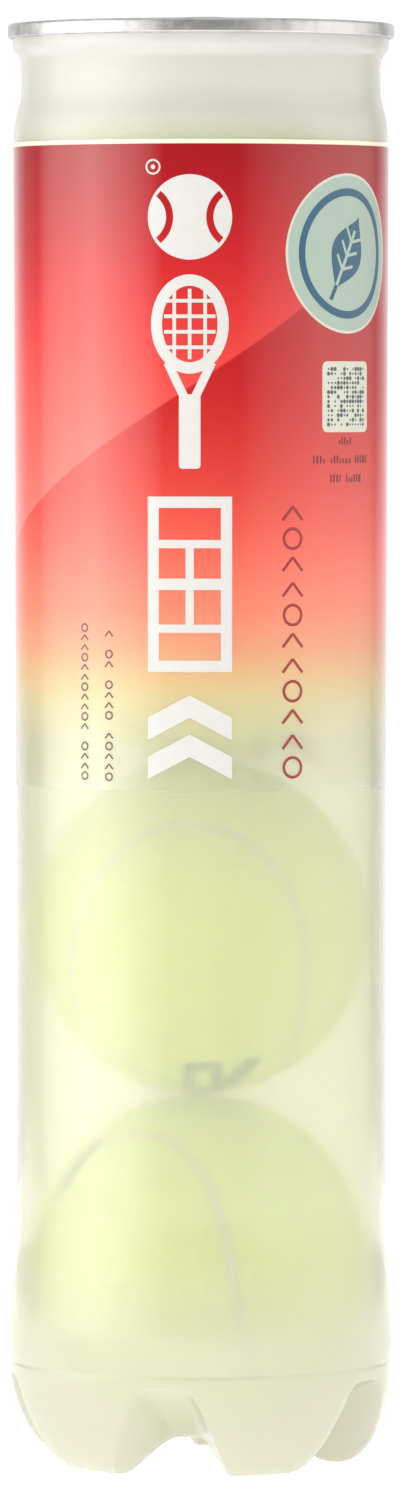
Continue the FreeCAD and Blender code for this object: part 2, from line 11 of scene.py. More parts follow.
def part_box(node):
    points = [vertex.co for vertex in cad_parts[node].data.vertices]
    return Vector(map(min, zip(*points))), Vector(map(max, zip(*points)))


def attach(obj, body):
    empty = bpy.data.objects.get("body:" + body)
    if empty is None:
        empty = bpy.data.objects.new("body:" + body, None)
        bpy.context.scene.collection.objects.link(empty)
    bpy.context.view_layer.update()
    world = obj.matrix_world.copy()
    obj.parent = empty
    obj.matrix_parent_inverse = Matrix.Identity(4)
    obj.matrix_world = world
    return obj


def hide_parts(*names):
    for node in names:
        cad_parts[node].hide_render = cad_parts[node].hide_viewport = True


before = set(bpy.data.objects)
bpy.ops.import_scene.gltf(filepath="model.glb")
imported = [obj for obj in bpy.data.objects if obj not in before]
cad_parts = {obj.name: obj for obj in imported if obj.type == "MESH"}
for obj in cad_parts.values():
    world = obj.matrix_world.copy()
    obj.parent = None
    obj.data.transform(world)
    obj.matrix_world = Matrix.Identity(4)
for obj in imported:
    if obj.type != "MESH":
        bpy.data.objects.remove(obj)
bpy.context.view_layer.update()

MM = 0.001


def cad_heights(*nodes):
    """The lowest and highest place of CAD nodes, in millimetres."""
    boxes = [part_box(node) for node in nodes]
    return min(low[2] for low, _ in boxes) / MM, max(high[2] for _, high in boxes) / MM


# ---------------- driving sizes, millimetres

WALL = 0.5
ROUND_STEPS = 288

# Outside of the moulded can: radius and height, from the nub under the hub up into the seam.
CAN_STATIONS = [
    (0.0, 4.8), (1.0, 4.85), (1.6, 5.3), (2.4, 5.6), (8.0, 5.6), (13.0, 5.5), (19.0, 3.0),
    (23.5, 0.5), (25.6, 0.0), (28.3, 0.0), (31.4, 1.55), (34.3, 5.1), (36.6, 11.0), (37.6, 16.0),
    (37.8, 18.8), (37.82, 20.0), (37.72, 20.5), (37.86, 21.1), (38.03, 25.0), (37.9, 30.0),
    (37.35, 36.5), (36.7, 43.0), (36.47, 49.0), (36.45, 56.0), (36.45, 95.0), (36.45, 134.0),
    (36.7, 198.0), (36.94, 258.0), (36.9, 262.0), (36.6, 265.2), (36.05, 267.5), (35.6, 269.4),
    (35.42, 271.5), (35.4, 274.0), (35.45, 276.4), (35.8, 277.7), (36.5, 278.5), (37.0, 279.3),
    (37.15, 280.4), (37.15, 281.6), (37.13, 283.1),
]
NOTCHES = 5
NOTCH_TURN = 43.0
NOTCH_HUB = (13.0, 5.6)
NOTCH_RISE = 0.498
NOTCH_SPREAD = 0.0894
NOTCH_FLANK = 0.495
NOTCH_HALF = 3.2
NOTCH_ROUND = 1.8

LABEL_LOW, LABEL_HIGH = cad_heights("label_sleeve")
LABEL_RADII = (36.60, 37.10)
LABEL_THICK = 0.13
LABEL_ROUND = 231.5
LABEL_WAVE = 0.03
LAP_START, LAP_SECTOR, LAP_RISE = 85.0, 18.0, 0.18
# The slanting edge between the two reds: its height at the front, its slope and its bow.
FADE_EDGE, FADE_SLOPE, FADE_BOW = 214.3, 0.655, 0.0008
INK_LIFT, INK_STEP = 0.012, 0.0015
BADGE_ACROSS, LEAF_TURN = 32.6, -28
DOTS_HEIGHT, DOT_PITCH, DOT_ROWS = 210.9, 0.9, 13

BALL_RADIUS = 33.25
FELT_INSIDE = 30.1
BALL_TURNS = [(11, -9, -3), (-142, 10, -16), (140, 25, 60), (35, 70, 10)]
SEAM_BOW = 0.75
SEAM_HALF = 0.9
# The felt's nap: how far it lies inside the ball's radius, its dip at the seam and the dip's reach,
# and the height and frequency of each layer of its relief.
NAP_DROP, EDGE_DROP, EDGE_REACH = 0.20, 0.50, 0.45
NAP_WAVES = [(0.11, 9), (0.10, 24), (0.07, 60)]

RIVET_TOP = cad_heights("tear_panel")[1]
RIVET_PLACE = 23.5
TEAR_RADIUS, PANEL_TOP, PANEL_THICK = 33.55, RIVET_TOP - 0.3, 0.25
RECESS_DROP, WELL_DROP = 0.6, 0.5
TAB_TURN, TAB_TILT = 15.0, 7.1
NOSE_RADIUS, NOSE_HEIGHT = 32.0, 279.1
TAB_THICK, TAB_HALF, TAB_CORNER = 1.6, 7.0, 4.5
RING_PLACE, RING_RADIUS, FINGER_RADIUS = 28.5, 11.5, 8.2
WINDOW_NEAR, WINDOW_FAR, WINDOW_HALF = 2.5, 12.5, 4.2
HOLLOW_NEAR, HOLLOW_FAR, HOLLOW_HALF, HOLLOW_DEPTH = 14.2, 19.0, 4.2, 0.28

# Heights in metres between which the plastic turns milkier, up the neck and down the foot.
NECK_HAZE = (0.260, 0.265)
FOOT_HAZE = (0.044, 0.020)

# World brightness at places from the camera's side (0) to behind the can (1).
WORLD_LEVELS = [(0.0, 0.12), (0.45, 0.12), (0.62, 0.36), (0.86, 0.46), (0.92, 0.80), (0.965, 1.05)]
CEILING_LEVEL, SEEN_LEVEL = 0.75, 1.05


def srgb(red, green, blue):
    """A linear colour from 0-255 display values."""
    def linear(value):
        value /= 255
        return value / 12.92 if value <= 0.04045 else ((value + 0.055) / 1.055) ** 2.4
    return (linear(red), linear(green), linear(blue), 1.0)


# ---------------- camera, lights, floor

def look_at(thing, target):
    """Turn a camera or light towards a point."""
    thing.rotation_euler = (Vector(target) - thing.location).to_track_quat("-Z", "Y").to_euler()


def show(name, data):
    """Put a new object with this data in the scene."""
    thing = bpy.data.objects.new(name, data)
    bpy.context.collection.objects.link(thing)
    return thing


def make_camera():
    """A long lens in front of the can, a little above its middle."""
    data = bpy.data.cameras.new("camera")
    data.lens = 224.6
    data.sensor_width = 36
    data.clip_end = 50
    camera = show("camera", data)
    camera.location = (-0.0001, -1.85, 0.2154)
    look_at(camera, (-0.0001, 0, 0.1410))
    bpy.context.scene.camera = camera


def make_light(name, place, target, size, radiance, reach=90):
    """A soft box of a given peak brightness, fading to nothing at a reach in degrees."""
    data = bpy.data.lights.new(name, "AREA")
    data.shape = "RECTANGLE"
    data.size, data.size_y = size
    half = math.radians(reach)
    fade = (math.tan(half) - half) / math.tan(half) if reach < 90 else 1.0
    data.spread = 2 * half
    data.energy = radiance * fade * math.pi * data.size * data.size_y
    data.color = (1.0, 0.98, 0.94)
    light = show(name, data)
    light.location = place
    look_at(light, target)
    return light


def make_side_light(name, turn, reach, radiance):
    """A tall soft box beside the can. The turn is from the camera's side towards +X, in degrees."""
    distance, height = 0.5, 0.62
    angle = math.radians(turn)
    place = (distance * math.sin(angle), -distance * math.cos(angle), height / 2)
    width = 2 * distance * math.tan(math.radians(reach))
    make_light(name, place, (0, 0, height / 2), (width, height), radiance, reach)


def make_world():
    """A dim room with a bright ceiling and back wall. The background is seen as plain white."""
    world = bpy.data.worlds.new("studio")
    bpy.context.scene.world = world
    nodes = Nodes(world, "World Output")
    _, back, up = nodes.parts(nodes.node("TexCoord").outputs["Generated"])
    level = nodes.ramp(nodes.span(back, -1.0, 1.0),
                       [(place, (amount, amount, amount, 1)) for place, amount in WORLD_LEVELS],
                       interpolation="LINEAR")
    ceiling = nodes.span(up, 0.35, 0.75, 0.0, CEILING_LEVEL)
    light = nodes.background((1.0, 0.99, 0.98, 1), nodes.math("MAXIMUM", level, ceiling))
    seen = nodes.background((1, 1, 1, 1), SEEN_LEVEL)
    nodes.mix_shaders(nodes.node("LightPath").outputs["Is Camera Ray"], light, seen)


def make_floor():
    """A plain pale floor that glows faintly, small so that upright walls don't mirror it."""
    mesh = bpy.data.meshes.new("floor")
    half = 0.6
    mesh.from_pydata([(-half, -half, 0), (half, -half, 0), (half, half, 0), (-half, half, 0)], [],
                     [(0, 1, 2, 3)])
    floor = show("floor", mesh)
    floor.location.z = -0.0002
    look = Look("floor_paint", roughness=0.6, emission_color=(1, 1, 1, 1), emission_strength=0.7)
    speckle = look.noise(60.0, detail=2)
    look.set(base_color=look.mix_colour(speckle, (0.85, 0.85, 0.85, 1), (0.88, 0.88, 0.88, 1)))
    mesh.materials.append(look.material)


# ---------------- materials

class Nodes:
    """Short calls for the nodes of one material or world."""

    def __init__(self, owner, output):
        owner.use_nodes = True
        self.tree = owner.node_tree
        self.output = self.tree.nodes[output]
        self.place = None

    def node(self, kind, **settings):
        node = self.tree.nodes.new("ShaderNode" + kind)
        for key, value in settings.items():
            setattr(node, key, value)
        return node

    def wire(self, value, socket):
        """Give an input either a number or another node's output."""
        if isinstance(value, bpy.types.NodeSocket):
            self.tree.links.new(value, socket)
        else:
            socket.default_value = value

    def feed(self, node, **values):
        """Give inputs of a node by their names, such as coat_ior for Coat IOR."""
        for name, value in values.items():
            socket = name.replace("_", " ").title().replace("Ior", "IOR")
            self.wire(value, node.inputs[socket])

    def parts(self, vector):
        """The outputs x, y and z of a vector."""
        node = self.node("SeparateXYZ")
        self.feed(node, vector=vector)
        return node.outputs

    def position(self, stretch=(1, 1, 1)):
        """Object coordinates, stretched along each axis."""
        if self.place is None:
            self.place = self.node("TexCoord").outputs["Object"]
        if stretch == (1, 1, 1):
            return self.place
        mapping = self.node("Mapping")
        self.feed(mapping, scale=stretch, vector=self.place)
        return mapping.outputs["Vector"]

    def noise(self, scale, detail=3, stretch=(1, 1, 1), roughness=0.55):
        node = self.node("TexNoise")
        self.feed(node, scale=scale, detail=detail, roughness=roughness,
                  vector=self.position(stretch))
        return node.outputs["Fac"]

    def math(self, operation, first, second):
        node = self.node("Math", operation=operation)
        self.wire(first, node.inputs[0])
        self.wire(second, node.inputs[1])
        return node.outputs[0]

    def span(self, value, low, high, new_low=0.0, new_high=1.0, smooth=False):
        """Map a value from one range to another, held at both ends."""
        node = self.node("MapRange", interpolation_type="SMOOTHSTEP" if smooth else "LINEAR")
        self.feed(node, value=value, from_min=low, from_max=high, to_min=new_low, to_max=new_high)
        return node.outputs[0]

    def mix_colour(self, factor, first, second):
        node = self.node("Mix", data_type="RGBA")
        self.wire(factor, node.inputs[0])
        self.wire(first, node.inputs[6])
        self.wire(second, node.inputs[7])
        return node.outputs[2]

    def ramp(self, factor, stops, interpolation="B_SPLINE"):
        """A colour ramp with (place, colour) stops."""
        node = self.node("ValToRGB")
        node.color_ramp.interpolation = interpolation
        points = node.color_ramp.elements
        while len(points) < len(stops):
            points.new(0.5)
        for point, (place, colour) in zip(points, stops):
            point.position = place
            point.color = colour
        self.feed(node, fac=factor)
        return node.outputs["Color"]

    def mix_shaders(self, factor, first, second):
        """Show a mix of two shaders: 0 is the first, 1 is the second."""
        mix = self.node("MixShader")
        for value, socket in zip((factor, first.outputs[0], second.outputs[0]), mix.inputs):
            self.wire(value, socket)
        self.wire(mix.outputs[0], self.output.inputs["Surface"])

    def background(self, colour, strength):
        """A world's glow of one colour."""
        node = self.node("Background")
        self.feed(node, color=colour, strength=strength)
        return node


class Look(Nodes):
    """One Principled material, and the values of its inputs."""

    def __init__(self, name, **values):
        self.material = bpy.data.materials.new(name)
        super().__init__(self.material, "Material Output")
        self.shader = self.tree.nodes["Principled BSDF"]
        self.set(**values)

    def set(self, **values):
        self.feed(self.shader, **values)

    def bump(self, height, distance, strength):
        node = self.node("Bump")
        self.feed(node, height=height, distance=distance, strength=strength)
        self.set(normal=node.outputs["Normal"])


def can_look():
    """Frosted moulded polyester: milky inside, with a glossier skin and a fine orange peel."""
    look = Look("frosted_can", ior=1.45, coat_weight=1.0, coat_roughness=0.1, coat_ior=1.32)
    grain = look.noise(2600.0, detail=2)
    ripple = look.noise(220.0, detail=2)
    _, _, up = look.parts(look.position())
    neck = look.span(up, *NECK_HAZE)
    foot = look.span(up, *FOOT_HAZE, 0.0, 0.85, smooth=True)
    milky = look.math("MAXIMUM", neck, foot)
    look.set(transmission_weight=look.span(milky, 0.0, 1.0, 0.75, 0.54),
             roughness=look.span(grain, 0.3, 0.7, 0.12, 0.19))
    tint = look.noise(35.0, detail=2)
    body = look.mix_colour(tint, (0.985, 0.985, 0.86, 1), (0.97, 0.97, 0.84, 1))
    body = look.mix_colour(foot, body, (0.86, 0.845, 0.80, 1))
    look.set(base_color=look.mix_colour(neck, body, (0.995, 0.985, 0.965, 1)))
    look.bump(look.math("ADD", look.math("MULTIPLY", grain, 0.25), ripple), 0.00014, 0.35)
    glow = look.node("BsdfTranslucent")
    look.feed(glow, color=look.mix_colour(neck, (0.97, 0.96, 0.88, 1), (0.99, 0.985, 0.96, 1)))
    look.mix_shaders(look.span(milky, 0.0, 1.0, 0.14, 0.34), look.shader, glow)
    return look.material


def metal_look():
    """Lacquered aluminium sheet with a fine grain and small scuffs."""
    look = Look("end_metal", metallic=0.87)
    lines = look.noise(900.0, detail=3)
    scuff = look.noise(260.0, detail=4)
    worn = look.span(scuff, 0.45, 0.7)
    look.set(base_color=look.mix_colour(worn, (0.64, 0.64, 0.64, 1), (0.46, 0.46, 0.47, 1)),
             roughness=look.span(lines, 0.3, 0.7, 0.28, 0.42))
    look.bump(look.math("ADD", lines, look.math("MULTIPLY", scuff, 0.4)), 0.00004, 0.5)
    return look.material


def felt_look():
    """Optic yellow wool felt: matted fibres, soft sheen, darker where the nap parts."""
    look = Look("ball_felt", roughness=0.95, specular_ior_level=0.1, sheen_weight=0.5,
                sheen_roughness=0.5, sheen_tint=(0.95, 1.0, 0.7, 1))
    nap = look.noise(1500.0, detail=4, roughness=0.7)
    patch = look.noise(180.0, detail=3)
    tone = look.math("ADD", look.math("MULTIPLY", nap, 0.6), look.math("MULTIPLY", patch, 0.4))
    look.set(base_color=look.ramp(look.span(tone, 0.3, 0.7), [
        (0.0, (0.60, 0.82, 0.05, 1)), (0.5, (0.78, 0.97, 0.09, 1)), (1.0, (0.88, 0.99, 0.20, 1))]))
    look.bump(nap, 0.0004, 0.8)
    return look.material


def rubber_look(name, light, dark, scale):
    """Matt rubber or glue in two mottled tones, with spots of a given scale."""
    look = Look(name)
    spot = look.noise(scale, detail=4)
    look.set(base_color=look.mix_colour(spot, light, dark),
             roughness=look.span(spot, 0.3, 0.7, 0.5, 0.8))
    look.bump(spot, 0.0001, 0.5)
    return look.material


def ink_look(name, colour, worn):
    """Printing ink on film, a little uneven, under the same varnish as the label."""
    look = Look(name, roughness=0.3, coat_weight=0.3, coat_roughness=0.15)
    look.set(base_color=look.mix_colour(look.noise(400.0, detail=3), colour, worn))
    look.bump(look.noise(900.0, detail=2), 0.00003, 0.3)
    return look.material


# ---------------- mesh helpers

def add_piece(name, mesh, body, material, smooth=True, replaces=()):
    piece = show(name, mesh)
    if smooth:
        mesh.polygons.foreach_set("use_smooth", [True] * len(mesh.polygons))
    mesh.materials.append(material)
    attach(piece, body)
    if replaces:
        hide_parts(*replaces)
    return piece


def spline_points(stations, spacing):
    """Points of a smooth curve through stations, about one spacing apart (centripetal)."""
    knots = [Vector(station) for station in stations]
    ends = [knots[0] * 2 - knots[1]] + knots + [knots[-1] * 2 - knots[-2]]
    points = []
    for before, start, end, after in zip(ends, ends[1:], ends[2:], ends[3:]):
        times = [0.0]
        for first, second in ((before, start), (start, end), (end, after)):
            times.append(times[-1] + max((second - first).length, 1e-6) ** 0.5)
        steps = max(2, round((end - start).length / spacing))
        for step in range(steps):
            time = times[1] + (times[2] - times[1]) * step / steps
            points.append(catmull_rom((before, start, end, after), times, time))
    return points + [knots[-1]]


def catmull_rom(knots, times, time):
    """Barry and Goldman's scheme for one point of a Catmull-Rom curve."""
    level = list(knots)
    for width in (1, 2, 3):
        level = [(level[k] * (times[k + width] - time) + level[k + 1] * (time - times[k]))
                 / (times[k + width] - times[k]) for k in range(len(level) - 1)]
    return level[0]


def offset_inwards(points, distance):
    """The same outline moved to its left by a distance (towards the axis on the way up)."""
    moved = []
    for k, point in enumerate(points):
        course = (points[min(k + 1, len(points) - 1)] - points[max(k - 1, 0)]).normalized()
        moved.append(point + Vector((-course.y, course.x)) * distance)
    return moved


def ring_of(radius, height, steps=ROUND_STEPS, centre=(0.0, 0.0)):
    """A level ring round the can's axis, or a pole for no radius."""
    if radius < 1e-6:
        return [(centre[0], centre[1], height)]
    return [(centre[0] + radius * math.cos(2 * math.pi * k / steps),
             centre[1] + radius * math.sin(2 * math.pi * k / steps), height) for k in range(steps)]


# ---------------- moulded can

def smooth_max(first, second, reach):
    """The larger of two numbers, blended where they differ by less than a reach."""
    share = min(1.0, max(0.0, 0.5 + 0.5 * (first - second) / reach))
    return second + (first - second) * share + reach * share * (1 - share)


def notch_height(radius, angle):
    """Height of the notch surface over a point: a rising floor with steep straight sides."""
    sector = 2 * math.pi / NOTCHES
    off = (angle - math.radians(NOTCH_TURN) + sector / 2) % sector - sector / 2
    along, aside = radius * math.cos(off), abs(radius * math.sin(off))
    reach = along - NOTCH_HUB[0]
    past_edge = aside - NOTCH_HALF - NOTCH_SPREAD * reach
    drop = smooth_max(past_edge, 0.0, 1.5) / NOTCH_FLANK
    return NOTCH_HUB[1] + NOTCH_RISE * reach - drop


def can_ring(radius, height, rise):
    """One ring of the can, lifted where a notch runs under it."""
    points = ring_of(radius, height)
    if height > 30 or len(points) == 1:
        return points
    lifted = []
    for x, y, _ in points:
        notch = notch_height(radius, math.atan2(y, x)) + rise
        lifted.append((x, y, smooth_max(notch, height, NOTCH_ROUND)))
    return lifted


def make_can(material):
    """The moulded can: outline and inside as rings, with the notches pressed up into the foot."""
    outside = spline_points(CAN_STATIONS, 2.3)
    inside = offset_inwards(outside, WALL)
    rings = [can_ring(max(point.x, 0), point.y, 0.0) for point in outside]
    rings += [can_ring(max(point.x, 0), point.y, 1.12 * WALL) for point in reversed(inside)
              if point.x > 2.5]
    rings.append([(0.0, 0.0, 5.6 + WALL)])
    shell = Shell()
    shell.add_rings(rings)
    add_piece("can_shell", shell.make("can_shell"), "can", material,
              replaces=("can_body",))


# ---------------- label

def label_radius(height):
    """Radius of the film's outside, which grows towards the neck with the can's."""
    share = (height - LABEL_LOW) / (LABEL_HIGH - LABEL_LOW)
    return LABEL_RADII[0] + (LABEL_RADII[1] - LABEL_RADII[0]) * share


def wrap(across, height, lift=0.0):
    """A point over the label: distance round from the front, height, lift off the film."""
    radius = label_radius(height)
    angle = across / radius
    return ((radius + lift) * math.sin(angle), -(radius + lift) * math.cos(angle), height)


# Printed colours left and right of the slant, from the label's lower edge (0) to its upper (1).
LEFT_REDS = [(0.0, (246, 170, 160)), (0.30, (240, 132, 122)), (0.45, (234, 104, 94)),
             (0.62, (222, 72, 66)), (0.75, (198, 42, 44)), (0.86, (176, 26, 34)),
             (1.0, (142, 13, 24))]
RIGHT_REDS = [(0.0, (253, 253, 247)), (0.08, (252, 250, 236)), (0.135, (248, 232, 184)),
              (0.18, (244, 200, 150)), (0.22, (238, 164, 128)), (0.28, (230, 124, 100)),
              (0.37, (220, 92, 78)), (0.47, (202, 60, 53)), (0.60, (180, 30, 33)),
              (0.75, (162, 20, 28)), (1.0, (150, 14, 24))]


def film_look(name, **values):
    """A film with ink that thins out downwards, its places round and up, and how clear it is."""
    look = Look(name, ior=1.01, specular_ior_level=0.0, **values)
    across, height, _ = look.parts(look.node("UVMap", uv_map="label").outputs[0])
    clear = look.span(height, 0.04, 0.34, 0.97, 0.0, smooth=True)
    look.set(transmission_weight=clear, roughness=look.span(clear, 0.0, 1.0, 0.5, 0.3))
    return look, across, height, clear


def label_look():
    """Printed film: two red fades either side of a slanting edge, clear towards the bottom."""
    look, across, height, _ = film_look("label_film", coat_weight=1.0, coat_roughness=0.07,
                                        coat_ior=1.6)
    cloud = look.noise(30.0, detail=3)
    level = look.span(look.math("ADD", height, look.math("MULTIPLY", cloud, 0.02)),
                      0.01, 1.01)
    light = look.ramp(level, [(place, srgb(*colour)) for place, colour in LEFT_REDS])
    deep = look.ramp(level, [(place, srgb(*colour)) for place, colour in RIGHT_REDS])
    bow = look.math("MULTIPLY", look.math("MULTIPLY", across, across), FADE_BOW * LABEL_ROUND ** 2)
    slope = look.math("MULTIPLY", across, FADE_SLOPE * LABEL_ROUND)
    edge = look.math("ADD", look.math("ADD", bow, slope), FADE_EDGE - LABEL_LOW)
    edge = look.math("DIVIDE", edge, LABEL_HIGH - LABEL_LOW)
    side = look.span(look.math("SUBTRACT", height, edge), -0.002, 0.002)
    colour = look.mix_colour(side, deep, light)
    rim = look.span(height, 0.9925, 0.994)
    look.set(base_color=look.mix_colour(rim, colour, srgb(240, 232, 205)))
    look.bump(look.noise(45.0, detail=2, stretch=(1, 1, 0.35)), 0.00035, 0.35)
    return look.material


def label_back_look():
    """The white backing ink that is seen from inside the can, clear towards the bottom."""
    look, _, _, clear = film_look("label_backing")
    cloud = look.noise(60.0, detail=2)
    ink = look.mix_colour(cloud, (0.9, 0.88, 0.86, 1), (0.86, 0.84, 0.82, 1))
    look.set(base_color=look.mix_colour(clear, ink, (0.99, 0.99, 0.98, 1)))
    return look.material


def label_rings():
    """Rings of the film's outside from its lower to its upper edge, raised at the lap."""
    rows, edge_row = 40, 0.12
    heights = [LABEL_LOW + (LABEL_HIGH - LABEL_LOW) * row / rows for row in range(rows + 1)]
    heights.insert(1, LABEL_LOW + edge_row)
    heights.insert(-1, LABEL_HIGH - edge_row)
    rings = []
    for height in heights:
        ring = []
        for k in range(ROUND_STEPS):
            within = 360 * k / ROUND_STEPS
            rise = LAP_RISE if within < LAP_SECTOR else 0.0
            wave = LABEL_WAVE * noise.noise(Vector((k * 0.09, height * 0.038, 3.3)))
            radius = label_radius(height) + rise + wave - LABEL_WAVE
            angle = math.radians(LAP_START + within)
            ring.append((radius * math.cos(angle), radius * math.sin(angle), height))
        rings.append(ring)
    return rings


def map_label(mesh):
    """A map over the film: the share of a turn from the front, and the share of its height."""
    layer = mesh.uv_layers.new(name="label")
    start = math.radians(LAP_START + 90) - 2 * math.pi
    for polygon in mesh.polygons:
        places = []
        for loop in polygon.loop_indices:
            place = mesh.vertices[mesh.loops[loop].vertex_index].co
            angle = (math.atan2(place.x, -place.y) - start) % (2 * math.pi)
            places.append((loop, angle, place.z))
        angles = [angle for _, angle, _ in places]
        crosses_start = max(angles) - min(angles) > math.pi
        for loop, angle, height in places:
            if crosses_start and angle < math.pi:
                angle += 2 * math.pi
            layer.data[loop].uv = ((angle + start) / (2 * math.pi),
                                   (height / MM - LABEL_LOW) / (LABEL_HIGH - LABEL_LOW))


def make_label(material):
    """The film as a closed shell, printed outside and white inside."""
    outside = label_rings()
    inside = []
    for ring in outside:
        shrink = [(label_radius(z) - LABEL_THICK) / math.hypot(x, y) for x, y, z in ring]
        inside.append([(x * share, y * share, z) for (x, y, z), share in zip(ring, shrink)])
    shell = Shell()
    shell.add_rings(outside + inside[::-1], closed=True)
    mesh = shell.make("label_wrap")
    map_label(mesh)
    first_inner = ROUND_STEPS * len(outside)
    mesh.polygons.foreach_set("material_index", [int(max(polygon.vertices) >= first_inner)
                                                 for polygon in mesh.polygons])
    add_piece("label_wrap", mesh, "can", material, replaces=("label_sleeve",))
    mesh.materials.append(label_back_look())


# ---------------- flat shapes, for prints and plates

def ellipse(x, y, half_x, half_y, steps=48):
    """A closed outline of an ellipse about a centre."""
    return [(x + half_x * math.cos(2 * math.pi * k / steps),
             y + half_y * math.sin(2 * math.pi * k / steps)) for k in range(steps)]


def box_shape(x, y, half_x, half_y, corner=0.0):
    """A rectangle about a centre, with rounded corners where a radius is given."""
    corners = [(x - half_x, y - half_y, corner), (x + half_x, y - half_y, corner),
               (x + half_x, y + half_y, corner), (x - half_x, y + half_y, corner)]
    return rounded(corners)


def bar(start, end, width):
    """A straight stroke between two points."""
    course = (Vector(end) - Vector(start)).normalized() * width / 2
    side = Vector((-course.y, course.x))
    start, end = Vector(start), Vector(end)
    return [tuple(corner) for corner in (start - side, end - side, end + side, start + side)]


def turned(outline, centre, degrees):
    """An outline turned about a point."""
    spin = Matrix.Rotation(math.radians(degrees), 2)
    middle = Vector(centre)
    return [tuple(spin @ (Vector(point) - middle) + middle) for point in outline]


def rounded(corners, spacing=0.25):
    """Fillet a closed outline: corners are (x, y, radius)."""
    points = []
    count = len(corners)
    for k, (x, y, radius) in enumerate(corners):
        if radius <= 0:
            points.append((x, y))
            continue
        corner = Vector((x, y))
        before = Vector(corners[k - 1][:2]) - corner
        after = Vector(corners[(k + 1) % count][:2]) - corner
        half = before.angle(after) / 2
        run = min(radius / math.tan(half), before.length * 0.49, after.length * 0.49)
        start, end = corner + before.normalized() * run, corner + after.normalized() * run
        steps = max(3, round(run * 2 / spacing))
        for step in range(steps + 1):
            share = step / steps
            points.append(tuple(start * (1 - share) ** 2 + corner * 2 * share * (1 - share)
                                + end * share ** 2))
    return points


def divided(outline, spacing):
    """The same closed outline with points no further apart than a spacing."""
    points = []
    for start, end in zip(outline, outline[1:] + outline[:1]):
        steps = max(1, math.ceil(math.dist(start, end) / spacing))
        for step in range(steps):
            share = step / steps
            points.append((start[0] + (end[0] - start[0]) * share,
                           start[1] + (end[1] - start[1]) * share))
    return points


def is_inside(x, y, outlines):
    """Even-odd test of a point against closed outlines."""
    inside = False
    for outline in outlines:
        for (x1, y1), (x2, y2) in zip(outline, outline[1:] + outline[:1]):
            if (y1 > y) != (y2 > y) and x < x1 + (y - y1) * (x2 - x1) / (y2 - y1):
                inside = not inside
    return inside


def triangulate(outlines, spacing):
    """Points and triangles that fill outlines (even-odd), no coarser than a spacing."""
    outlines = [divided(outline, spacing) for outline in outlines]
    points, edges = [], []
    for outline in outlines:
        first = len(points)
        count = len(outline)
        points += outline
        edges += [(first + k, first + (k + 1) % count) for k in range(count)]
    xs, ys = [x for x, _ in points], [y for _, y in points]
    for column in range(1, math.ceil((max(xs) - min(xs)) / spacing)):
        for row in range(1, math.ceil((max(ys) - min(ys)) / spacing)):
            shift = 0.31 * (row % 2)
            points.append((min(xs) + (column + shift) * spacing, min(ys) + row * spacing))
    flat = [Vector(point) for point in points]
    verts, _, faces, _, _, _ = geometry.delaunay_2d_cdt(flat, edges, [], 0, 1e-5)
    kept = []
    for face in faces:
        x = sum(verts[k].x for k in face) / 3
        y = sum(verts[k].y for k in face) / 3
        if is_inside(x, y, outlines):
            kept.append(tuple(face))
    return [tuple(vert) for vert in verts], kept


class Shell:
    """Vertices and faces of one piece, gathered from several simple bodies."""

    def __init__(self):
        self.verts = []
        self.faces = []

    def add(self, verts, faces):
        first = len(self.verts)
        self.verts += [tuple(vert) for vert in verts]
        self.faces += [tuple(first + k for k in face) for face in faces]

    def add_rings(self, rings, closed=False):
        """Skin a row of rings. A ring of one point is a pole."""
        starts, verts, faces = [], [], []
        for ring in rings:
            starts.append(len(verts))
            verts += ring
        pairs = list(zip(range(len(rings)), list(range(1, len(rings))) + [0]))
        for low, high in pairs if closed else pairs[:-1]:
            a, b = starts[low], starts[high]
            count = max(len(rings[low]), len(rings[high]))
            for k in range(count):
                after = (k + 1) % count
                if len(rings[low]) == 1:
                    faces.append((a, b + after, b + k))
                elif len(rings[high]) == 1:
                    faces.append((a + k, a + after, b))
                else:
                    faces.append((a + k, a + after, b + after, b + k))
        self.add(verts, faces)

    def add_plate(self, outlines, place, spacing=1.2):
        """A thin plate over outlines. place(x, y, side) gives a point for side 0 or 1."""
        flat, faces = triangulate(outlines, spacing)
        count = len(flat)
        edges = dict.fromkeys(edge for face in faces for edge in zip(face, face[1:] + face[:1]))
        walls = [(a, b, b + count, a + count) for a, b in edges if (b, a) not in edges]
        top = [tuple(k + count for k in face) for face in faces]
        bottom = [face[::-1] for face in faces]
        verts = [place(x, y, side) for side in (0, 1) for x, y in flat]
        self.add(verts, top + bottom + walls)

    def add_tube(self, path, radius, place, segments=12):
        """A round bead along a closed flat path. place(x, y, z) gives a point."""
        count = len(path)
        rings = []
        for k in range(count):
            course = (Vector(path[(k + 1) % count]) - Vector(path[k - 1])).normalized()
            ring = []
            for step in range(segments):
                angle = 2 * math.pi * step / segments
                out, up = radius * math.cos(angle), radius * math.sin(angle)
                ring.append(place(path[k][0] + course.y * out, path[k][1] - course.x * out, up))
            rings.append(ring)
        self.add_rings(rings, closed=True)

    def make(self, name, transform=None):
        """The mesh in metres, without unused vertices."""
        verts = [Vector(vert) for vert in self.verts]
        if transform:
            verts = [transform @ vert for vert in verts]
        mesh = bpy.data.meshes.new(name)
        mesh.from_pydata([tuple(vert * MM) for vert in verts], [], self.faces)
        edit = bmesh.new()
        edit.from_mesh(mesh)
        bmesh.ops.delete(edit, geom=[vert for vert in edit.verts if not vert.link_faces],
                         context="VERTS")
        edit.to_mesh(mesh)
        edit.free()
        mesh.update()
        return mesh


# ---------------- prints on the label

def print_piece(name, shapes, colour, worn, lift=INK_LIFT):
    """Ink shapes on the film. Each shape is a list of outlines, filled even-odd."""
    shell = Shell()
    for number, outlines in enumerate(shapes):
        top = lift + INK_STEP * (number % 6)

        def place(x, y, side):
            return wrap(x, y, top if side else lift - 0.01)
        shell.add_plate(outlines, place)
    mesh = shell.make(name)
    add_piece(name, mesh, "can", ink_look(name, srgb(*colour), srgb(*worn)),
              smooth=False)


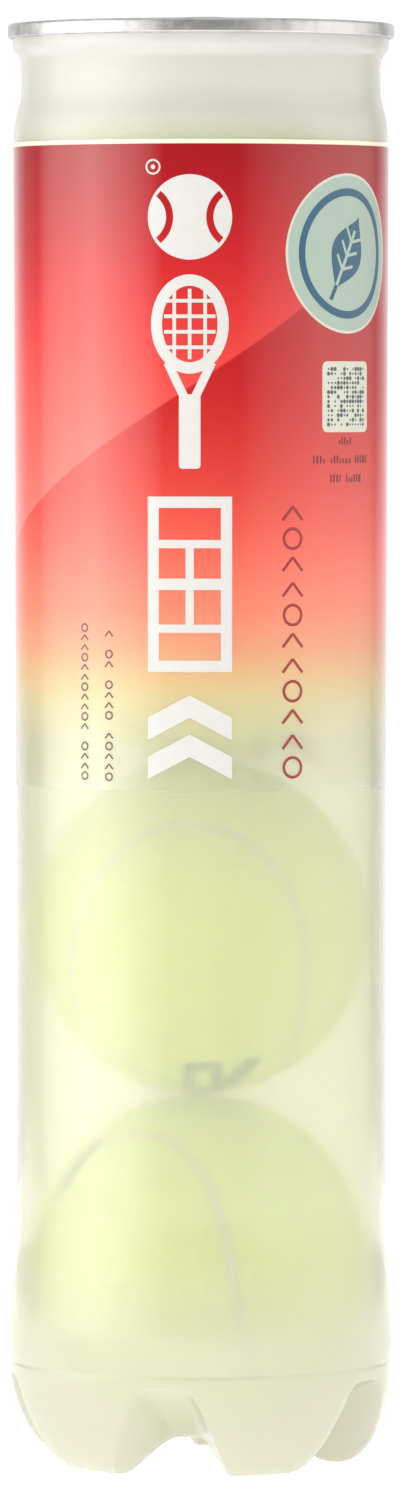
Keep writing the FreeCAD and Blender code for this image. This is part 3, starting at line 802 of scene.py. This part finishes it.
def tile_shapes(middle):
    """A column of four sport pictograms: ball, racket, court and chevrons."""
    half = 8.25
    ball = [ball_shape(middle, 245.7, half)]
    racket = [[ellipse(middle, 225.0, 7.6, 9.6, 72), ellipse(middle, 225.0, 5.4, 7.4, 72)]]
    for offset in (-3.0, 0.0, 3.0):
        racket.append([bar((middle + offset, 218.2), (middle + offset, 231.8), 0.7)])
    for offset in (-4.5, -1.5, 1.5, 4.5):
        racket.append([bar((middle - 5.0, 225 + offset), (middle + 5.0, 225 + offset), 0.7)])
    for side in (-1, 1):
        racket.append([bar((middle + side * 4.3, 217.6), (middle + side * 0.9, 210.5), 1.7)])
    racket.append([box_shape(middle, 204.2, 2.1, 7.2, 0.8)])
    court = [[box_shape(middle, 174.6, half, 17.0), box_shape(middle, 174.6, half - 2.2, 14.8)],
             [bar((middle - 6.2, 174.6), (middle + 6.2, 174.6), 2.2)],
             [bar((middle, 166.0), (middle, 182.4), 1.6)]]
    for height in (166.0, 182.4):
        court.append([bar((middle - 6.2, height), (middle + 6.2, height), 1.6)])
    arrows = []
    for low in (136.7, 144.3):
        arrows.append([[(middle - half, low), (middle, low + 4.4), (middle + half, low),
                        (middle + half, low + 4.4), (middle, low + 8.8),
                        (middle - half, low + 4.4)]])
    return ball + racket + court + arrows


def ball_shape(x, y, radius):
    """A disc with a curved seam band left free on each side, as one even-odd shape."""
    shape = [ellipse(x, y, radius, radius, 96)]
    for side in (-1, 1):
        band = []
        for size in (6.4, 5.0):
            arc = [point for point in ellipse(x + side * 9.6, y, size, size)
                   if math.dist(point, (x, y)) < radius - 0.05]
            arc.sort(key=lambda point: point[1], reverse=bool(band))
            band += arc
        shape.append(band)
    return shape


def greeked(across, height, length, tall, rng):
    """A level line of small strokes in place of small print."""
    shapes = []
    place = -length / 2
    letters = rng.randint(4, 9)
    while place < length / 2 - 0.4:
        width = rng.choice((0.26, 0.26, 0.34, 0.6))
        top = height + tall * rng.choice((0.5, 0.5, 0.1))
        left, low = across + place, height - tall / 2
        shapes.append([[(left, low), (left + width, low), (left + width, top), (left, top)]])
        place += width + 0.55
        letters -= 1
        if letters == 0:
            place += 1.1
            letters = rng.randint(4, 9)
    return shapes


def glyph_row(across, low, high, tall, stroke, gaps=()):
    """An upright row of thin rings and chevrons in place of wording, with some places empty."""
    shapes = []
    half = tall / 2
    count = round((high - low) / (1.12 * tall))
    for number in range(count):
        height = low + half + (high - low - tall) * number / (count - 1)
        if number in gaps:
            continue
        if number % 3 == 0:
            shapes.append([ellipse(across, height, half, half),
                           ellipse(across, height, half - stroke, half - stroke)])
        else:
            for side in (-1, 1):
                shapes.append([bar((across + side * half, height - half * 0.6),
                                   (across, height + half * 0.6), stroke)])
    return shapes


def badge_shapes(across, height):
    """The round badge, from the bottom layer up: rim, disc, then a ring with a leaf."""
    rim = [[ellipse(across, height, 15.6, 15.6, 96), ellipse(across, height, 15.1, 15.1, 96)]]
    disc = [[ellipse(across, height, 15.1, 15.1, 96)]]
    ring = [ellipse(across, height, 12.7, 12.7, 96), ellipse(across, height, 11.2, 11.2, 96)]
    leaf = []
    for side, steps in ((1, range(25)), (-1, range(1, 24))):
        for step in steps:
            wide = 4.6 * math.sin(math.pi * step / 24) ** 1.3
            leaf.append((across + side * wide, height + side * (16 * step / 24 - 8)))
    middle = (across, height)
    rib = bar((across, height - 7.0), (across, height + 5.0), 0.8)
    veins = [bar((across, height - 3.5 + 3 * k), (across + side * 2.6, height - 1.5 + 3 * k), 0.6)
             for k in range(3) for side in (-1, 1)]
    stalk = bar((across, height - 10.2), (across, height - 7), 0.9)
    glyph = [ring] + [[turned(part, middle, LEAF_TURN)] for part in (leaf, stalk)]
    light = [[turned(part, middle, LEAF_TURN)] for part in [rib] + veins]
    return rim, disc, glyph, light


def make_prints():
    """All print on the label: pictograms, badge, dot panel and rows of small marks."""
    rng = random.Random(41)
    white, white_worn = (206, 206, 204), (198, 197, 194)
    mark = [[ellipse(-9.4, 255.4, 1.5, 1.5), ellipse(-9.4, 255.4, 1.15, 1.15)],
            [ellipse(-9.4, 255.4, 0.45, 0.45)]]
    print_piece("print_pictograms", tile_shapes(-2.2) + mark, white, white_worn)
    print_piece("print_pictograms_back", tile_shapes(98.0), white, white_worn)
    rim, disc, glyph, light = badge_shapes(BADGE_ACROSS, 238.8)
    print_piece("print_badge_rim", rim, (206, 202, 186), (196, 192, 176))
    print_piece("print_badge_disc", disc, (158, 178, 165), (150, 170, 157))
    print_piece("print_badge_leaf", glyph, (18, 84, 112), (12, 74, 100), lift=0.03)
    print_piece("print_badge_veins", light, (158, 178, 165), (150, 170, 157), lift=0.045)
    print_piece("print_dot_panel", [[box_shape(BADGE_ACROSS, DOTS_HEIGHT, 7.0, 6.9, 1.4)]],
                (200, 202, 186), (192, 194, 178))
    dots = []
    steps = [DOT_PITCH * (k - (DOT_ROWS - 1) / 2) for k in range(DOT_ROWS)]
    for x in steps:
        for y in steps:
            size = rng.choice((0.0, 0.22, 0.33, 0.42))
            if size:
                dots.append([ellipse(BADGE_ACROSS + x, DOTS_HEIGHT + y, size, size, 10)])
    print_piece("print_dots", dots, (52, 66, 72), (70, 84, 88), lift=0.03)
    small = []
    for height, length in ((202.3, 4.4), (198.7, 18.0), (195.0, 9.2)):
        small += greeked(32.4, height, length, 1.5, rng)
    print_piece("print_small_lines", small, (76, 12, 16), (90, 20, 22), lift=0.014)
    print_piece("print_glyph_row", glyph_row(18.6, 136.7, 190.5, 4.4, 0.55), (134, 26, 30),
                (150, 36, 36), lift=0.014)
    side = []
    for row in ((-24.4, 136.3, 166.9, 1.75, 0.32, (4,)),
                (-18.7, 136.2, 165.8, 1.75, 0.32, (5, 10, 13)),
                (-98.0, 136.0, 184.0, 1.6, 0.3, (6, 15)),
                (-94.0, 138.0, 182.0, 1.6, 0.3, (9, 14))):
        side += glyph_row(*row)
    print_piece("print_side_lines", side, (96, 48, 44), (112, 62, 54), lift=0.014)


# ---------------- metal end

def make_end_ring(material):
    """Countersink, chuck wall and double seam as one rolled sheet."""
    corners = [
        (33.6, 277.2, 0.35), (34.85, 277.2, 0.4), (34.85, 278.2, 1.0), (36.76, 281.3, 0.4),
        (36.76, 283.95, 0.25), (37.85, 283.95, 0.4), (37.85, 281.65, 0.1), (37.45, 281.65, 0.1),
        (37.45, 282.9, 0.1), (37.2, 282.9, 0.1), (37.2, 281.4, 0.3), (38.1, 281.4, 0.45),
        (38.1, 284.2, 0.75), (36.5, 284.2, 0.55), (36.5, 281.35, 0.5), (34.6, 278.25, 0.8),
        (34.6, 277.45, 0.25), (33.85, 277.45, 0.25), (33.85, 278.9, 0.2), (33.6, 278.9, 0.1)]
    shell = Shell()
    shell.add_rings([ring_of(radius, height) for radius, height in rounded(corners)], closed=True)
    add_piece("seam_ring", shell.make("seam_ring"), "can", material,
              replaces=("end_ring",))


def panel_corners(level):
    """One face of the pressed panel, from its edge in to the axis."""
    floor = level - RECESS_DROP
    well = floor - WELL_DROP
    return [(TEAR_RADIUS, level, 0.0), (30.5, level, 0.5), (29.9, floor, 0.5), (28.9, floor, 0.6),
            (28.0, floor + 0.4, 0.6), (27.1, floor, 0.6), (15.0, floor, 0.6), (14.5, well, 0.6),
            (6.0, well, 0.0)]


def make_panel(material):
    """The pressed disc that tears off, with its rivet."""
    above = panel_corners(PANEL_TOP)
    below = panel_corners(PANEL_TOP - PANEL_THICK)[::-1]
    outline = rounded(below + above)
    low, high = outline[0][1], outline[-1][1]
    shell = Shell()
    shell.add_rings([ring_of(0, low)] + [ring_of(r, z) for r, z in outline] + [ring_of(0, high)])
    turn = math.radians(TAB_TURN)
    centre = (-math.sin(turn) * RIVET_PLACE, math.cos(turn) * RIVET_PLACE)
    foot = PANEL_TOP - RECESS_DROP - 0.1
    rivet = [(1.9, foot), (1.9, foot + 0.45), (2.9, foot + 0.46), (2.99, foot + 0.55),
             (2.99, RIVET_TOP - 0.25), (2.9, RIVET_TOP - 0.1), (2.7, RIVET_TOP - 0.02),
             (2.2, RIVET_TOP), (1.5, RIVET_TOP - 0.03), (1.1, RIVET_TOP - 0.16)]
    rings = [ring_of(0, foot, 48, centre)] + [ring_of(r, z, 48, centre) for r, z in rivet]
    shell.add_rings(rings + [ring_of(0, RIVET_TOP - 0.2, 48, centre)])
    add_piece("pressed_panel", shell.make("pressed_panel"), "panel", material,
              replaces=("tear_panel",))


def tab_path(inset):
    """The centre line of the curled edge, from the nose round the ring, a distance inside."""
    half, ring = TAB_HALF - inset, RING_RADIUS - inset
    corner = TAB_CORNER - inset
    points = []
    for side, start in ((1, 0.0), (-1, math.pi / 2)):
        for step in range(13):
            angle = start + math.pi / 2 * step / 12
            points.append((side * (half - corner) + corner * math.cos(angle),
                           -TAB_CORNER + corner * math.sin(angle)))
    meet = math.asin(half / ring)
    for step in range(73):
        angle = math.pi / 2 + meet + (2 * math.pi - 2 * meet) * step / 72
        points.append((ring * math.cos(angle), -RING_PLACE + ring * math.sin(angle)))
    return relaxed(divided(points, 0.45), 8)


def relaxed(path, rounds):
    """Smooth the corners of a closed path."""
    for _ in range(rounds):
        path = [((path[k - 1][0] + 2 * path[k][0] + path[(k + 1) % len(path)][0]) / 4,
                 (path[k - 1][1] + 2 * path[k][1] + path[(k + 1) % len(path)][1]) / 4)
                for k in range(len(path))]
    return path


def make_tab(material):
    """The ring pull: a sheet with its outer edge, finger hole and window curled over."""
    middle = TAB_THICK / 2
    edge, hole_edge, window_edge = 0.78, 0.62, 0.34
    shell = Shell()
    outer = tab_path(edge)
    finger = ellipse(0, -RING_PLACE, FINGER_RADIUS + hole_edge, FINGER_RADIUS + hole_edge, 96)
    window = box_shape(0, -(WINDOW_NEAR + WINDOW_FAR) / 2, WINDOW_HALF + window_edge,
                       (WINDOW_FAR - WINDOW_NEAR) / 2 + window_edge, 1.0)

    def raised(x, y, up):
        return (x, y, middle + up)

    def plate(x, y, side):
        hollow = abs(x) < HOLLOW_HALF and HOLLOW_NEAR < -y < HOLLOW_FAR
        return (x, y, middle - 0.16 - HOLLOW_DEPTH * hollow + 0.34 * side)
    shell.add_tube(outer, edge, raised, 16)
    shell.add_tube(finger, hole_edge, raised, 14)
    shell.add_tube(divided(window, 0.6), window_edge, raised, 10)
    shell.add_plate([outer, finger, window], plate, 0.7)
    transform = (Matrix.Rotation(math.radians(TAB_TURN), 4, "Z")
                 @ Matrix.Translation((0, NOSE_RADIUS, NOSE_HEIGHT))
                 @ Matrix.Rotation(math.radians(-TAB_TILT), 4, "X"))
    add_piece("ring_pull", shell.make("ring_pull", transform), "tab", material,
              replaces=("pull_tab",))


# ---------------- balls

def seam_samples(steps=900):
    """Places along the seam curve on a unit sphere, and the direction sideways of it."""
    turn = np.linspace(0, 2 * math.pi, steps, endpoint=False)
    rest = 1 - SEAM_BOW
    height = 2 * math.sqrt(SEAM_BOW * rest)
    place = np.stack([SEAM_BOW * np.cos(turn) + rest * np.cos(3 * turn),
                      SEAM_BOW * np.sin(turn) - rest * np.sin(3 * turn),
                      height * np.sin(2 * turn)], axis=1)
    course = np.stack([-SEAM_BOW * np.sin(turn) - 3 * rest * np.sin(3 * turn),
                       SEAM_BOW * np.cos(turn) - 3 * rest * np.cos(3 * turn),
                       2 * height * np.cos(2 * turn)], axis=1)
    place /= np.linalg.norm(place, axis=1)[:, None]
    side = np.cross(place, course)
    return place, side / np.linalg.norm(side, axis=1)[:, None]


def seam_distance(points, place, side):
    """Signed distance of unit vectors from the seam, in millimetres on the ball."""
    nearest = np.concatenate([np.argmax(part @ place.T, axis=1)
                              for part in np.array_split(points, 24)])
    across = np.einsum("ij,ij->i", points - place[nearest], side[nearest])
    gap = np.linalg.norm(points - place[nearest], axis=1)
    return np.where(across > 0, gap, -gap) * BALL_RADIUS, nearest


def felt_template():
    """Unit directions, triangles and seam distances of a fine sphere cut cleanly at the seam."""
    edit = bmesh.new()
    bmesh.ops.create_icosphere(edit, subdivisions=7, radius=1.0)
    points = np.array([vert.co[:] for vert in edit.verts])
    faces = np.array([[vert.index for vert in face.verts] for face in edit.faces])
    edit.free()
    place, side = seam_samples()
    distance, nearest = seam_distance(points, place, side)
    for sign in (1, -1):
        edge = sign * SEAM_HALF
        near = np.abs(distance - edge) < 0.30
        moved = place[nearest] + side[nearest] * math.tan(edge / BALL_RADIUS)
        moved /= np.linalg.norm(moved, axis=1)[:, None]
        points[near] = moved[near]
        distance[near] = edge
    return points, faces, distance


def felt_relief(points):
    """Height of the matted nap at unit directions, in millimetres."""
    relief = np.empty(len(points))
    for k, point in enumerate(points):
        relief[k] = sum(height * noise.noise(Vector(point) * scale) for height, scale in NAP_WAVES)
    return relief


def ball_height(number):
    """Height of a ball's centre, from the CAD's rubber halves."""
    low, high = cad_heights("ball_%d_core_lower" % number, "ball_%d_core_upper" % number)
    return (low + high) / 2


def make_felt(number, letter, sign, template, relief, spin, material):
    """One felt panel: matted surface with rounded edges that dip to the seam."""
    points, faces, distance = template
    depth = sign * distance
    kept = faces[(depth[faces] >= SEAM_HALF - 1e-4).all(axis=1)]
    used = np.unique(kept)
    index = -np.ones(len(points), dtype=int)
    index[used] = np.arange(len(used))
    past = np.clip(depth[used] - SEAM_HALF, 0, None)
    edge = 1 - np.exp(-past / EDGE_REACH)
    radius = (BALL_RADIUS - NAP_DROP - EDGE_DROP * (1 - edge)
              + relief[used] * (0.3 + 0.7 * edge))
    verts = points[used] * np.minimum(radius, BALL_RADIUS)[:, None]
    tris = index[kept]
    edges = dict.fromkeys(pair for a, b, c in tris.tolist() for pair in ((a, b), (b, c), (c, a)))
    rim = [pair for pair in edges if pair[::-1] not in edges]
    foot = {}
    extra = []
    for vert in sorted({k for pair in rim for k in pair}):
        foot[vert] = len(verts) + len(extra)
        extra.append(verts[vert] / np.linalg.norm(verts[vert]) * FELT_INSIDE)
    verts = np.vstack([verts, np.array(extra)])
    walls = [(b, a, foot[a], foot[b]) for a, b in rim]
    verts = (verts @ np.array(spin).T + np.array((0, 0, ball_height(number)))) * MM
    name = "ball_%d_nap_%s" % (number, letter)
    mesh = bpy.data.meshes.new(name)
    mesh.from_pydata(verts.tolist(), [], tris.tolist() + walls)
    mesh.update()
    add_piece(name, mesh, "ball_%d" % number, material,
              replaces=("ball_%d_felt_%s" % (number, letter),))


def ball_spin(turns):
    """The rotation of a ball: turns about Z, Y and X in degrees."""
    yaw, pitch, roll = (math.radians(turn) for turn in turns)
    return (Matrix.Rotation(yaw, 3, "Z") @ Matrix.Rotation(pitch, 3, "Y")
            @ Matrix.Rotation(roll, 3, "X"))


def make_stamp(name, number, direction, shapes, material):
    """Ink on the felt: flat shapes laid over the ball round a direction."""
    centre = Vector((0, 0, ball_height(number)))
    out = Vector(direction).normalized()
    right = Vector((0, 0, 1)).cross(out).normalized()
    up = out.cross(right)
    shell = Shell()

    def place(x, y, side):
        point = (out * BALL_RADIUS + right * x + up * y).normalized()
        return centre + point * (BALL_RADIUS - 0.16 + 0.12 * side)
    for outlines in shapes:
        shell.add_plate(outlines, place, 0.8)
    add_piece(name, shell.make(name), "ball_%d" % number, material)


def stamp_look():
    """Grey-green ink that only catches the tips of the nap."""
    look = Look("stamp_ink", roughness=0.9)
    nap = look.noise(1300.0, detail=3, roughness=0.7)
    look.set(base_color=look.mix_colour(nap, srgb(66, 104, 102), srgb(100, 132, 116)))
    look.bump(nap, 0.0003, 0.6)
    look.mix_shaders(look.span(nap, 0.30, 0.42), look.node("BsdfTransparent"), look.shader)
    return look.material


def make_balls(material):
    """The felt of all four balls, and the ink stamps that show."""
    template = felt_template()
    relief = felt_relief(template[0])
    for number, turns in enumerate(BALL_TURNS, start=1):
        spin = ball_spin(turns)
        for letter, sign in (("a", 1), ("b", -1)):
            make_felt(number, letter, sign, template, relief, spin, material)
    ink = stamp_look()
    ring = [[box_shape(0, 0, 4.1, 7.4, 2.6), box_shape(0, 0, 1.7, 4.4, 1.2)]]
    dash = [[turned(box_shape(0, 0, 1.9, 6.6, 0.8), (0, 0), -10)]]
    make_stamp("ball_2_stamp_ring", 2, (0.3, -15.3, -29.5), ring, ink)
    make_stamp("ball_2_stamp_dash", 2, (7.2, -15.5, -28.5), dash, ink)
    make_stamp("ball_1_stamp_dash", 1, (-24.3, -10.5, 21.2), dash, ink)


# ---------------- build

def dress_cad_nodes(metal, felt):
    """Give every CAD node its material, for the ones that stay in view."""
    core = rubber_look("ball_rubber", (0.05, 0.05, 0.05, 1), (0.03, 0.03, 0.028, 1), 900.0)
    compound = rubber_look("seal_rubber", (0.20, 0.19, 0.17, 1), (0.14, 0.13, 0.12, 1), 1200.0)
    adhesive = rubber_look("label_glue", (0.82, 0.78, 0.62, 1), (0.74, 0.70, 0.55, 1), 700.0)
    seam = rubber_look("ball_seam", (0.72, 0.73, 0.66, 1), (0.55, 0.56, 0.5, 1), 1400.0)
    looks = {"felt": felt, "core": core, "compound": compound, "glue": adhesive, "_seam": seam}
    for name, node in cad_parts.items():
        material = next((look for part, look in looks.items() if part in name), metal)
        node.data.materials.clear()
        node.data.materials.append(material)


def main():
    """Build the studio, then the pieces, then give the CAD nodes their materials."""
    make_camera()
    make_world()
    make_side_light("left_box", -71, 48, 3.6)
    make_side_light("right_box", 80, 56, 1.5)
    fill = make_light("front_fill", (0, -0.6, 0.30), (0, 0, 0.12), (0.8, 0.5), 1.7)
    fill.visible_glossy = False
    make_floor()
    bpy.context.scene.view_settings.view_transform = "Standard"
    metal = metal_look()
    make_can(can_look())
    make_label(label_look())
    make_prints()
    make_end_ring(metal)
    make_panel(metal)
    make_tab(metal)
    felt = felt_look()
    make_balls(felt)
    dress_cad_nodes(metal, felt)


main()
